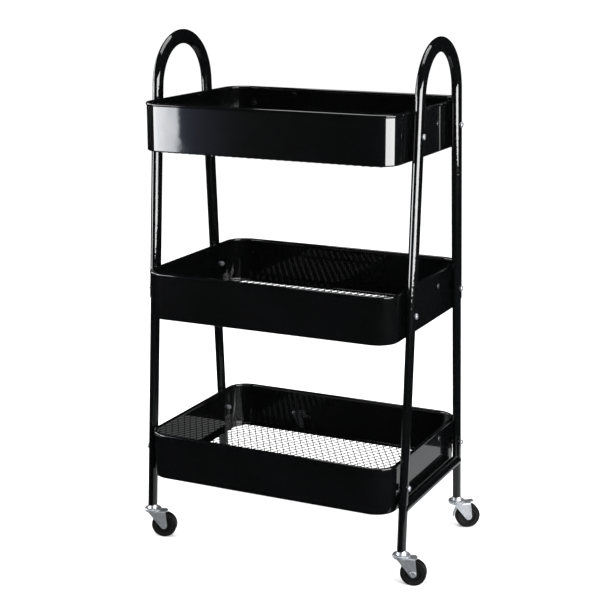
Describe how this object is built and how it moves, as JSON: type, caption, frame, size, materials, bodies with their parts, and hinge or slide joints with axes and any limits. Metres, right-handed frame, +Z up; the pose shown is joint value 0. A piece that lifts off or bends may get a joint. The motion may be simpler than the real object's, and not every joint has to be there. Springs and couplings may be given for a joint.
{
  "type": "rolling utility cart",
  "caption": "Rolling cart with stacked sheet-steel baskets on mesh floors between bent oval-tube side frames, with looped handles and swivel casters.",
  "frame": {"origin": "on the floor, under the middle of the frame: half way between the left and right side frames and between the front and rear legs", "axes": "+X along the baskets' long side, to the viewer's right; -Y towards the front; +Z up"},
  "size_m": [0.4832, 0.3048, 0.803],
  "materials": {
    "black_enamel": "gloss",
    "zinc_plate": "bright zinc plated",
    "wheel_rubber": "satin",
    "wheel_plastic": "satin",
    "plug_plastic": "matte",
    "bearing_steel": "polished"
  },
  "bodies": {
    "cart_frame": {"top_basket": "black_enamel", "top_mesh": "black_enamel", "middle_basket": "black_enamel", "middle_mesh": "black_enamel", "bottom_basket": "black_enamel", "bottom_mesh": "black_enamel", "left_upper_frame": "black_enamel", "left_cross_tube": "black_enamel", "front_left_lower_leg": "black_enamel", "rear_left_lower_leg": "black_enamel", "right_upper_frame": "black_enamel", "right_cross_tube": "black_enamel", "front_right_lower_leg": "black_enamel", "rear_right_lower_leg": "black_enamel", "basket_bolts": "zinc_plate", "basket_nuts": "zinc_plate", "basket_spacers": "black_enamel", "swivel_balls": "bearing_steel", "front_left_leg_plug": "plug_plastic", "front_left_caster_stem": "zinc_plate", "front_left_upper_race": "zinc_plate", "front_right_leg_plug": "plug_plastic", "front_right_caster_stem": "zinc_plate", "front_right_upper_race": "zinc_plate", "rear_left_leg_plug": "plug_plastic", "rear_left_caster_stem": "zinc_plate", "rear_left_upper_race": "zinc_plate", "rear_right_leg_plug": "plug_plastic", "rear_right_caster_stem": "zinc_plate", "rear_right_upper_race": "zinc_plate"},
    "front_left_swivel": {"front_left_fork": "zinc_plate", "front_left_axle": "zinc_plate"},
    "front_left_wheel": {"front_left_wheel_core": "wheel_plastic", "front_left_tyre": "wheel_rubber"},
    "front_right_swivel": {"front_right_fork": "zinc_plate", "front_right_axle": "zinc_plate"},
    "front_right_wheel": {"front_right_wheel_core": "wheel_plastic", "front_right_tyre": "wheel_rubber"},
    "rear_left_swivel": {"rear_left_fork": "zinc_plate", "rear_left_axle": "zinc_plate", "rear_left_brake_pin": "zinc_plate"},
    "rear_left_wheel": {"rear_left_wheel_core": "wheel_plastic", "rear_left_tyre": "wheel_rubber"},
    "rear_left_brake": {"rear_left_brake_lever": "zinc_plate"},
    "rear_right_swivel": {"rear_right_fork": "zinc_plate", "rear_right_axle": "zinc_plate", "rear_right_brake_pin": "zinc_plate"},
    "rear_right_wheel": {"rear_right_wheel_core": "wheel_plastic", "rear_right_tyre": "wheel_rubber"},
    "rear_right_brake": {"rear_right_brake_lever": "zinc_plate"}
  },
  "joints": [
    {"name": "front_left_swivel_turn", "type": "hinge", "parent": "cart_frame", "child": "front_left_swivel", "pos_m": [-0.2155, -0.12119, 0.0435], "axis": [0, 0, 1], "continuous": true},
    {"name": "front_left_wheel_spin", "type": "hinge", "parent": "front_left_swivel", "child": "front_left_wheel", "pos_m": [-0.19812, -0.11487, 0.02], "axis": [0.342, -0.9397, 0], "continuous": true},
    {"name": "front_right_swivel_turn", "type": "hinge", "parent": "cart_frame", "child": "front_right_swivel", "pos_m": [0.2155, -0.12119, 0.0435], "axis": [0, 0, 1], "continuous": true},
    {"name": "front_right_wheel_spin", "type": "hinge", "parent": "front_right_swivel", "child": "front_right_wheel", "pos_m": [0.23328, -0.11609, 0.02], "axis": [0.2756, -0.9613, 0], "continuous": true},
    {"name": "rear_left_swivel_turn", "type": "hinge", "parent": "cart_frame", "child": "rear_left_swivel", "pos_m": [-0.2155, 0.12119, 0.0435], "axis": [0, 0, 1], "continuous": true},
    {"name": "rear_left_wheel_spin", "type": "hinge", "parent": "rear_left_swivel", "child": "rear_left_wheel", "pos_m": [-0.19873, 0.12901, 0.02], "axis": [0.4226, -0.9063, 0], "continuous": true},
    {"name": "rear_left_brake_press", "type": "hinge", "parent": "rear_left_swivel", "child": "rear_left_brake", "pos_m": [-0.21323, 0.12225, 0.0365], "axis": [-0.4226, 0.9063, 0], "range_deg": [0, 9]},
    {"name": "rear_right_swivel_turn", "type": "hinge", "parent": "cart_frame", "child": "rear_right_swivel", "pos_m": [0.2155, 0.12119, 0.0435], "axis": [0, 0, 1], "continuous": true},
    {"name": "rear_right_wheel_spin", "type": "hinge", "parent": "rear_right_swivel", "child": "rear_right_wheel", "pos_m": [0.23084, 0.13154, 0.02], "axis": [0.5592, -0.829, 0], "continuous": true},
    {"name": "rear_right_brake_press", "type": "hinge", "parent": "rear_right_swivel", "child": "rear_right_brake", "pos_m": [0.21757, 0.12259, 0.0365], "axis": [-0.5592, 0.829, 0], "range_deg": [0, 9]}
  ]
}
